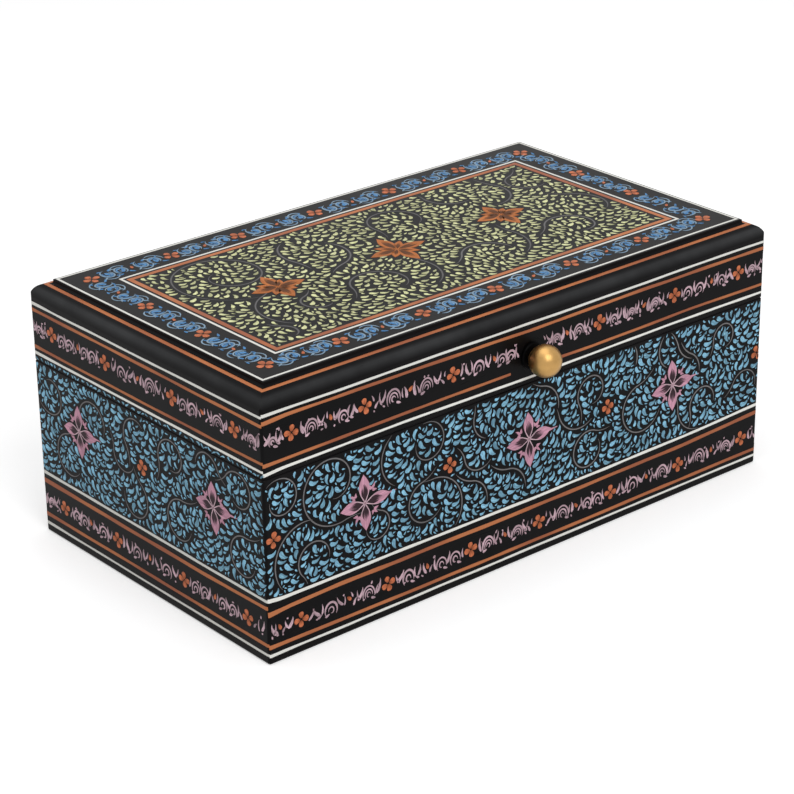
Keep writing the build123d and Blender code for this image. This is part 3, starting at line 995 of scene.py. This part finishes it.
# Each motif has arches (place along it, half width, arches) and leaves (place, length, width, slant, curl
# and rise).
BAND_MOTIFS = (
    (
        ((0.42, 3.1, FAN),),
        ((0.05, 5.6, 1.5, 92, -0.7, 0.0), (0.17, 4.4, 0.95, 104, 0.6, -0.5),
         (0.68, 5.4, 1.5, 112, -0.8, 0.0), (0.8, 5.2, 1.0, 66, 0.8, 0.2),
         (0.9, 3.2, 1.1, 120, 0.6, -1.3), (0.98, 2.6, 0.8, 75, -0.4, 1.4)),
    ),
    (
        ((0.25, 2.4, ARCH), (0.66, 2.3, ARCH)),
        ((0.03, 4.6, 1.2, 78, 0.7, 0.0), (0.45, 5.8, 1.6, 108, -0.8, 0.0), (0.86, 5.4, 1.4, 70, 0.8, 0.0),
         (0.97, 3.2, 1.0, 112, 0.5, -1.0)),
    ),
    (
        ((0.58, 2.7, ARCH),),
        ((0.05, 5.4, 1.4, 74, 0.8, 0.0), (0.18, 5.4, 1.6, 118, -0.9, 0.0), (0.27, 2.6, 1.2, 20, 0.5, -2.3),
         (0.36, 4.8, 1.1, 98, 0.6, 0.3), (0.82, 5.6, 1.7, 112, -0.8, 0.0), (0.95, 4.6, 1.0, 72, 0.6, 0.2)),
    ),
)
SHORT_MOTIF = (
    (),
    ((0.2, 5.2, 1.5, 108, -0.8, 0.0), (0.62, 4.6, 1.0, 80, 0.7, -0.3), (0.95, 3.0, 1.1, 120, 0.6, -1.0)),
)


def band_half(drawing, start, end, y, motif, rng):
    """The scrollwork between a blossom and the next dot: leaves and arches, one way round or the other."""
    span = end - start
    hand = rng.choice((-1, 1))
    tall = rng.uniform(0.92, 1.08)
    tilt = rng.uniform(-0.22, 0.22)
    arches, leaves = motif
    for share, half, rows in arches:
        middle = (start + end) / 2 + hand * (share - 0.5) * span
        width = min(span * 0.22, half) * rng.uniform(0.9, 1.05)
        foot = y - 1.3
        for radius, begin, sweep, end_share, stroke in rows:
            path = spiral(0, 0, radius * width, begin, sweep, radius * width * end_share, 0.45)
            path = [
                (middle + hand * (px - tilt * py), foot + (py + tilt * px) * 1.3 * tall) for px, py in path
            ]
            drawing.ribbon(path, 0.7 * stroke * rng.uniform(0.8, 1.2), 0.3, rng.random())
        drawing.blob(middle - hand * width * 0.7, y - 2.9, 2.2, 1.1, 20.0 * hand, 0.5, 0.4, rng.random(), 8)
    for share, long, wide, lean, curl, rise in leaves:
        x = (start + end) / 2 + hand * (share - 0.5) * span + rng.uniform(-0.25, 0.25)
        lean = (lean if hand > 0 else 180 - lean) + rng.uniform(-17, 17)
        wide *= rng.uniform(0.7, 1.1)
        long *= tall * rng.uniform(0.8, 1.05)
        height = y + rise + rng.uniform(-0.45, 0.45)
        drawing.blob(x, height, long, wide, lean, 0.8, 1.3 * curl * hand, rng.random(), 10)
    for _ in range(2):
        x, rise = rng.uniform(start, end), rng.choice((-1, 1)) * rng.uniform(2.4, 3.2)
        long, lean = rng.uniform(0.8, 1.5), rng.uniform(0, 180)
        drawing.blob(x, y + rise, long, 0.75, lean, 0.5, 0.3, rng.random(), 8)


def paint_band(name, place, body, blossoms, dots, height, covered, seed):
    """A narrow band of pink scrolls and orange blossoms across a wall."""
    rng = random.Random(seed)
    scrolls, orange = Drawing(), Drawing()
    for x in blossoms:
        blossom(orange, x, height, BLOSSOM_SIZE, rng)
    for x in dots:
        orange.blob(x, height + 0.4, 2.4, 1.5, rng.uniform(40, 140), 0.5, 0.0, rng.random())
    marks = sorted([(x, AT_BLOSSOM) for x in blossoms] + [(x, AT_DOT) for x in dots] + covered)
    marks = [(0.0, AT_END), *marks, (place.width, AT_END)]
    for (left, clear_left), (right, clear_right) in zip(marks, marks[1:]):
        start, end = left + clear_left, right - clear_right
        if end - start < SHORT:
            if end - start > BARE:
                band_half(scrolls, start, end, height, SHORT_MOTIF, rng)
            continue
        pieces = 1 if end - start < SINGLE else 2
        for k in range(pieces):
            a, b = start + (end - start) * k / pieces, start + (end - start) * (k + 1) / pieces
            band_half(scrolls, a, b, height, rng.choice(BAND_MOTIFS), rng)
    scrolls.place(f"{name}_scrolls", place, body, "mauve")
    orange.place(f"{name}_blossoms", place, body, "orange", lift=PETAL_LIFT)


def paint_wall_field(name):
    """The vines, leaves and flowers of one wall."""
    place = SIDES[name]
    rng = random.Random(f"{SEED} {name}")
    sizes = bpy.context.scene.painted_box_sizes
    foot = line_heights(LINES[FOOT_LINE], name)
    edge = sizes.line / MM * LINES[FOOT_LINE][2] / 2 + 0.45
    ground = Ground(place.width, lambda x: profile(foot, x) + edge, lambda x: SEAM - 0.55)
    vines = grown(layout(WALL_VINES, name), ground)
    stems, leaves, petals, hearts, blossoms, edges = (Drawing() for _ in range(6))
    reach = FLOWER_REACH[PLAIN[name]]
    for x, y in layout(WALL_FLOWERS, name):
        flower(petals, hearts, x, y, reach, 4.8, (0.62, 0.62), 1.1, rng, 3, edges)
        leaflets(petals, x, y, reach, rng, 3)
        tip = [(x + reach * 0.9 + step * 0.6, y + 0.6 + 0.03 * step) for step in range(8)]
        petals.ribbon(tip, [0.9 - 0.1 * step for step in range(8)], tint=rng.random())
        for quarter in range(4):
            for step in range(1, 10):
                ground.disc(*away(x, y, step * 1.1, 90 * quarter + 3), 2.3 - abs(step - 4) * 0.3)
            ground.disc(*away(x, y, 5.4, 45 + 90 * quarter), 1.6)
    for x, y in layout(WALL_BLOSSOMS, name):
        blossom(blossoms, x, y, BLOSSOM_SIZE, rng)
        ground.disc(x, y, 3.2)
    draw_vines(stems, vines, sizes.vine / MM, 1.15, 0.25, ground, rng)
    long, wide = sizes.leaf_length / MM, sizes.leaf_width / MM
    seed = f"{SEED} leaves {name}"
    painter = LeafPainter(leaves, ground, vines, long, wide, LEAF_GAP, (1.2, 2.3), 0.6, 15, seed)
    painter.fill(place.width * (SEAM - FIELD_FOOT), WALL_DASHES)
    stems.place(f"case_{name}_vines", place, "base", "vine", lift=UNDER_LIFT, crown=0.0)
    leaves.place(f"case_{name}_leaves", place, "base", "blue")
    petals.place(f"case_{name}_petals", place, "base", "pink", lift=PETAL_LIFT)
    hearts.place(f"case_{name}_hearts", place, "base", "pink_heart", lift=HEART_LIFT, crown=0.0)
    edges.place(f"case_{name}_petal_lines", place, "base", "mauve", lift=EDGE_LIFT, crown=0.0)
    blossoms.place(f"case_{name}_blossoms", place, "base", "orange", lift=BLOSSOM_LIFT)


def draw_vines(stems, vines, width, fullest, clear, ground, rng):
    """Draws a field's vines, up to the share fullest of the width, with clear ground beside them."""
    for vine in vines:
        stems.ribbon(vine, width * rng.uniform(0.9, fullest), 0.26, rng.random())
        for x, y in vine:
            ground.disc(x, y, width / 2 + clear)


def grown(entries, ground):
    """The vines of a field: each spiral with a short stem that bends the other way and ends where it meets
    another spiral, cut where it leaves the field."""
    step, touching = 0.9, 0.8
    curls = [spiral(*entry) for entry in entries]
    vines = []
    for entry, curl in zip(entries, curls):
        others = [point for other in curls if other is not curl for point in other]
        radius, sweep = entry[2], entry[4]
        (x, y), after = curl[0], curl[1]
        heading = math.atan2(y - after[1], x - after[0])
        stem = []
        for _ in range(int(min(9.0, radius) / step)):
            heading += math.copysign(step / (1.5 * radius), sweep)
            x += step * math.cos(heading)
            y += step * math.sin(heading)
            stem.append((x, y))
            if any(math.dist((x, y), point) < touching for point in others):
                break
        stretch = []
        for point in [*stem[::-1], *curl, None]:
            if point and ground.inside([point]):
                stretch.append(point)
            else:
                if len(stretch) > 4:
                    vines.append(stretch)
                stretch = []
    return vines


def paint_lid_strip(name):
    """The narrow strip of leaves between the lid's lowest line and the seam."""
    place = SIDES[name]
    low = SEAM + 0.35
    drawing = Drawing()
    rng = random.Random(f"{SEED} strip {name}")
    x = 1.0
    while x < place.width - 1.5:
        long = rng.uniform(1.4, 2.9)
        y = low + rng.uniform(0.55, 1.15)
        lean = rng.uniform(-75, 75) * min(1.0, 1.4 / long)
        wide = rng.uniform(0.7, 1.25)
        lean += rng.choice((0, 180))
        curl = rng.uniform(0.4, 1.2)
        drawing.blob(x + long / 2, y, long, wide, lean, 0.8, curl, rng.random(), hollow=0.3)
        x += long * 0.8 + rng.choice((0.2, 0.5, 1.5))
    drawing.place(f"lid_{name}_strip_leaves", place, "lid", "blue")


def paint_top_field():
    """The yellow-green strokes, vines and orange flowers of the top panel."""
    rng = random.Random(f"{SEED} top")
    sizes = bpy.context.scene.painted_box_sizes
    left, right, front, back = TOP_FIELD
    ground = Ground(LENGTH, lambda x: front if left < x < right else back, lambda x: back)
    vines = grown(TOP_VINES, ground)
    stems, leaves, petals, hearts = Drawing(), Drawing(), Drawing(), Drawing()
    for x, y, reach in TOP_FLOWERS:
        flower(petals, hearts, x, y, reach * 0.66, 3.2, (0.7, 0.45), 1.1, rng, 45)
        flower(petals, hearts, x, y, reach, 5.4, (0.74, 0.5), 1.0, rng, -3)
        for eighth in range(8):
            far = reach if eighth % 2 == 0 else reach * 0.62
            for step in range(1, int(far / 1.1) + 1):
                ground.disc(*away(x, y, step * 1.1, 45 * eighth), 2.5 - step / far * 1.7)
    draw_vines(stems, vines, sizes.vine / MM * 1.45, 1.1, 0.22, ground, rng)
    long, wide = sizes.stroke_length / MM, sizes.stroke_width / MM
    seed = f"{SEED} strokes"
    painter = LeafPainter(leaves, ground, vines, long, wide, STROKE_GAP, (0.8, 1.9), 0.45, 26, seed)
    painter.fill((right - left) * (back - front))
    stems.place("top_vines", TOP, "lid", "deep_vine", lift=UNDER_LIFT, crown=0.0)
    leaves.place("top_strokes", TOP, "lid", "green")
    petals.place("top_petals", TOP, "lid", "amber", lift=PETAL_LIFT)
    hearts.place("top_hearts", TOP, "lid", "amber_heart", lift=HEART_LIFT, crown=0.0)


# Places of the four curls between two blossoms of the top border, and a curl's largest size and its share
# of the way between them.
CURL_PLACES = (0.205, 0.375, 0.625, 0.795)
LARGEST_CURL, CURL_SHARE = 2.9, 0.088
# A curl of the top border. Each hook: its layer, radius as a share, start, sweep, end radius as a share of
# the radius, and width. Each small leaf: its layer, place, length, width and slant.
CURL_HOOKS = (
    ("outlines", 1.0, 250, -320, 0.62, 0.58),
    ("curls", 0.72, 215, -270, 0.55, 0.62),
    ("outlines", 1.3, 20, 120, 1.05, 0.5),
    ("outlines", 0.4, 60, -260, 0.7, 0.36),
)
CURL_LEAVES = (
    ("curls", 0.15, -0.3, 3.4, 1.6, 72),
    ("curls", 2.5, -3.0, 2.6, 1.1, -30),
    ("outlines", -2.5, 3.1, 2.4, 0.9, 150),
    ("curls", -2.1, -3.4, 2.0, 0.8, 10),
    ("curls", 2.2, 2.9, 1.7, 0.9, 40),
    ("outlines", -0.6, 1.6, 1.5, 0.6, 20),
)


def border_curl(layers, x, y, angle, size, flip, rng):
    """One curl of the top border: a drop-shaped heart inside two hooks, with small leaves."""
    for layer, radius, start, sweep, end_share, width in CURL_HOOKS:
        start += rng.uniform(-22, 22)
        path = spiral(0, 0, radius * size, start, sweep, radius * size * end_share, 0.5)
        path = [turned(x, y, px, py * 1.3 * flip, angle) for px, py in path]
        layers[layer].ribbon(path, width * rng.uniform(0.9, 1.15), 0.2, rng.random())
    for layer, px, py, long, wide, lean in CURL_LEAVES:
        px, py = px + rng.uniform(-0.3, 0.3), py + rng.uniform(-0.3, 0.3)
        lean = (lean + rng.uniform(-18, 18)) * flip
        place = turned(x, y, px, py * flip, angle)
        layers[layer].blob(*place, long, wide, lean + angle, 0.6, 0.5 * flip, rng.random(), 10)


def paint_top_border():
    """The blue curls, orange blossoms and small dots of the border round the top panel."""
    rng = random.Random(f"{SEED} border")
    layers = {"curls": Drawing(), "outlines": Drawing()}
    blossoms = Drawing()
    for x, y in TOP_BLOSSOMS:
        blossom(blossoms, x, y, BORDER_BLOSSOM_SIZE, rng)
    rows = [
        (sorted(p for p in TOP_BLOSSOMS if p[1] < 20), 0),
        (sorted(p for p in TOP_BLOSSOMS if p[1] > 110), 0),
        (sorted((p for p in TOP_BLOSSOMS if p[0] < 20), key=lambda p: p[1]), 90),
        (sorted((p for p in TOP_BLOSSOMS if p[0] > 220), key=lambda p: p[1]), 90),
    ]
    for row, angle in rows:
        for start, end in zip(row, row[1:]):
            size = min(LARGEST_CURL, math.dist(start, end) * CURL_SHARE)
            for k, share in enumerate(CURL_PLACES):
                x, y = (start[i] + (end[i] - start[i]) * share for i in (0, 1))
                border_curl(layers, x, y, angle, size, 1 if k % 2 else -1, rng)
            x, y = (start[0] + end[0]) / 2, (start[1] + end[1]) / 2
            blossoms.blob(x, y, 2.4, 1.3, rng.uniform(30, 80), 0.5, 0.0, rng.random())
    layers["curls"].place("top_border_curls", TOP, "lid", "azure")
    layers["outlines"].place("top_border_outlines", TOP, "lid", "pale_azure", lift=OUTLINE_LIFT)
    blossoms.place("top_border_blossoms", TOP, "lid", "orange", lift=BLOSSOM_LIFT)


def paint_knob_patch_and_shadow():
    """A plain patch round the knob where the band is left bare, painted darker than the lacquer as the
    knob's shadow.
    """
    drawing = Drawing()
    # Painted shadow: the patch reaches past the collar and is darker than the lacquer round it.
    drawing.blob(KNOB_X, KNOB_Z, 2 * KNOB_CLEAR, 2 * KNOB_CLEAR, segments=28)
    drawing.place("lid_front_patch_and_knob_shadow", SIDES["front"], "lid", "black", lift=UNDER_LIFT, crown=0.0)


# Studio

# The camera's place in millimetres and its turns in degrees, as the picture gives them.
CAMERA_PLACE = (-583.6, -690.0, 446.7)
HEADING, PITCH, ROLL = 39.97, 24.17, -0.79
SENSOR_WIDTH, LENS = 36.0, 119.18
# Each lamp: place, size and power. Both look at the middle of the box.
LAMPS = {"key_lamp": ((-0.32, -1.31, 1.34), 1.0, 12.0), "top_lamp": ((-0.1, 0.1, 1.5), 1.3, 7.0)}
LAMPS_LOOK_AT = (0, 0, 0.05)
FLOOR_RADIUS = 3.5
# How brightly the floor glows where it is seen, and how brightly the room lights the box.
FLOOR_GLOW, ROOM_LIGHT = 0.38, 0.42


def lay_floor():
    """A round floor of pale paper."""
    mesh = bmesh.new()
    bmesh.ops.create_circle(mesh, cap_ends=True, segments=64, radius=FLOOR_RADIUS)
    data = bpy.data.meshes.new("studio_floor")
    mesh.to_mesh(data)
    mesh.free()
    floor = bpy.data.objects.new("studio_floor", data)
    bpy.context.scene.collection.objects.link(floor)
    f = Finish("studio_paper")
    rays = f.add("LightPath").outputs
    tone = f.blend(f.ramp(f.noise(900.0, 2.0, 0.5), 0.3, 0.7), DULL_PAPER, PALE_PAPER)
    paper = f.add("BsdfDiffuse", {"Color": tone}).outputs[0]
    seen = f.math("MAXIMUM", rays["Is Camera Ray"], rays["Is Glossy Ray"])
    strength = f.math("MULTIPLY", seen, FLOOR_GLOW)
    glow = f.add("Emission", {"Color": (1, 1, 1, 1), "Strength": strength}).outputs[0]
    both = f.add("AddShader", {0: paper, 1: glow}).outputs[0]
    f.add("OutputMaterial", {0: both})
    floor.data.materials.append(f.material)


def light_room():
    """A white room that is brighter where the camera sees it or the box mirrors it."""
    world = bpy.data.worlds.new("studio_world")
    world.use_nodes = True
    bpy.context.scene.world = world
    room = Nodes(world.node_tree)
    rays = room.add("LightPath").outputs
    mirrored_rays = room.math("ADD", rays["Is Glossy Ray"], rays["Is Transmission Ray"])
    seen = room.math("ADD", rays["Is Camera Ray"], mirrored_rays, clamp=True)
    strength = room.ramp(seen, 0.0, 1.0, ROOM_LIGHT, 1.0)
    light = room.add("Background", {"Color": (1, 1, 1, 1), "Strength": strength}).outputs[0]
    room.add("OutputWorld", {0: light})


def hang_lamps():
    """A key lamp in front and a wide soft one above."""
    for name, (place, size, power) in LAMPS.items():
        lamp = bpy.data.lights.new(name, "AREA")
        lamp.size = size
        lamp.energy = power
        holder = bpy.data.objects.new(name, lamp)
        holder.location = place
        holder.rotation_mode = "QUATERNION"
        holder.rotation_quaternion = (Vector(LAMPS_LOOK_AT) - Vector(place)).to_track_quat("-Z", "Y")
        bpy.context.scene.collection.objects.link(holder)


def set_camera():
    """The camera at the picture's angle."""
    scene = bpy.context.scene
    view = bpy.data.cameras.new("picture_camera")
    view.sensor_width = SENSOR_WIDTH
    view.lens = LENS
    view.clip_start, view.clip_end = 0.05, 20.0
    camera = bpy.data.objects.new("picture_camera", view)
    heading, pitch, roll = math.radians(HEADING), math.radians(PITCH), math.radians(ROLL)
    turn = Matrix.Rotation(-heading, 3, "Z") @ Matrix.Rotation(math.pi / 2 - pitch, 3, "X")
    turn = turn @ Matrix.Rotation(roll, 3, "Z")
    camera.matrix_world = Matrix.Translation(Vector(CAMERA_PLACE) * MM) @ turn.to_4x4()
    scene.collection.objects.link(camera)
    scene.camera = camera
    scene.view_settings.view_transform = "Standard"


# Operators


class PaintedBoxWoodwork(bpy.types.Operator):
    """Give the case, the lid and the floor panel their lacquer and bare wood"""

    bl_idname = "painted_box.woodwork"
    bl_label = "Finish the Woodwork"

    def execute(self, context):
        for name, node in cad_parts.items():
            if name.startswith(("base_", "lid_")) and "screws" not in name:
                dress(node, "woodwork")
        return {"FINISHED"}


def dress(node, finish_name):
    """Puts a finish on a CAD node."""
    node.data.materials.clear()
    node.data.materials.append(finish_named(finish_name))


class PaintedBoxMetalwork(bpy.types.Operator):
    """Give the knob, hinges and screws their metal and the collar its turned black"""

    bl_idname = "painted_box.metalwork"
    bl_label = "Finish the Metalwork"

    def execute(self, context):
        for name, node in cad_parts.items():
            if name in ("knob_washer", "knob_nut"):
                dress(node, "steel")
            elif name == "knob_collar":
                dress(node, "collar")
            elif name.startswith("hinge_") or name == "knob_ball" or "screws" in name:
                dress(node, "brass")
        return {"FINISHED"}


class PaintedBoxLines(bpy.types.Operator):
    """Rule the white and orange lines round the case, the lid and the top"""

    bl_idname = "painted_box.lines"
    bl_label = "Rule the Lines"

    def execute(self, context):
        paint_wall_lines()
        paint_top_lines()
        return {"FINISHED"}


class PaintedBoxBands(bpy.types.Operator):
    """Paint the pink scroll bands of the case and the lid"""

    bl_idname = "painted_box.bands"
    bl_label = "Paint the Bands"

    def execute(self, context):
        for number, (name, place) in enumerate(SIDES.items()):
            blossoms, dots, height = layout(CASE_BAND, name)
            paint_band(f"case_{name}_band", place, "base", blossoms, dots, height, [], 100 + number)
            blossoms, dots, height = layout(LID_BAND, name)
            covered = [(KNOB_X, KNOB_CLEAR)] if name == "front" else []
            paint_band(f"lid_{name}_band", place, "lid", blossoms, dots, height, covered, 200 + number)
        paint_knob_patch_and_shadow()
        return {"FINISHED"}


class PaintedBoxFields(bpy.types.Operator):
    """Paint the leaf fields of the four walls and the strip under the lid's lowest line"""

    bl_idname = "painted_box.fields"
    bl_label = "Paint the Wall Fields"

    def execute(self, context):
        for name in SIDES:
            paint_wall_field(name)
            if name in ("left", "right"):
                paint_lid_strip(name)
        return {"FINISHED"}


class PaintedBoxTop(bpy.types.Operator):
    """Paint the top panel and its border"""

    bl_idname = "painted_box.top"
    bl_label = "Paint the Top"

    def execute(self, context):
        paint_top_field()
        paint_top_border()
        return {"FINISHED"}


class PaintedBoxStudio(bpy.types.Operator):
    """Set up the floor, the lamps and the camera"""

    bl_idname = "painted_box.studio"
    bl_label = "Set Up the Studio"

    def execute(self, context):
        lay_floor()
        light_room()
        hang_lamps()
        set_camera()
        return {"FINISHED"}


class PaintedBoxPanel(bpy.types.Panel):
    """Lists the steps of painting the box, with their sizes and colours"""

    bl_idname = "VIEW3D_PT_painted_box"
    bl_label = "Painted Box"
    bl_space_type = "VIEW_3D"
    bl_region_type = "UI"
    bl_category = "Painted Box"

    def draw(self, context):
        column = self.layout.column()
        for step in STEPS:
            column.operator(step.bl_idname)
        for group in (context.scene.painted_box_sizes, context.scene.painted_box_colours):
            for key in group.bl_rna.properties.keys():
                if key not in ("rna_type", "name"):
                    column.prop(group, key)


STEPS = (
    PaintedBoxWoodwork,
    PaintedBoxMetalwork,
    PaintedBoxLines,
    PaintedBoxBands,
    PaintedBoxFields,
    PaintedBoxTop,
    PaintedBoxStudio,
)
CLASSES = (PaintedBoxSizes, PaintedBoxColours, *STEPS, PaintedBoxPanel)


def register():
    for cls in CLASSES:
        bpy.utils.register_class(cls)
    bpy.types.Scene.painted_box_sizes = bpy.props.PointerProperty(type=PaintedBoxSizes)
    bpy.types.Scene.painted_box_colours = bpy.props.PointerProperty(type=PaintedBoxColours)


def unregister():
    del bpy.types.Scene.painted_box_colours
    del bpy.types.Scene.painted_box_sizes
    for cls in reversed(CLASSES):
        bpy.utils.unregister_class(cls)


def main():
    """Runs every step in order."""
    register()
    bpy.ops.painted_box.woodwork()
    bpy.ops.painted_box.metalwork()
    bpy.ops.painted_box.lines()
    bpy.ops.painted_box.bands()
    bpy.ops.painted_box.fields()
    bpy.ops.painted_box.top()
    bpy.ops.painted_box.studio()


if __name__ == "__main__":
    main()
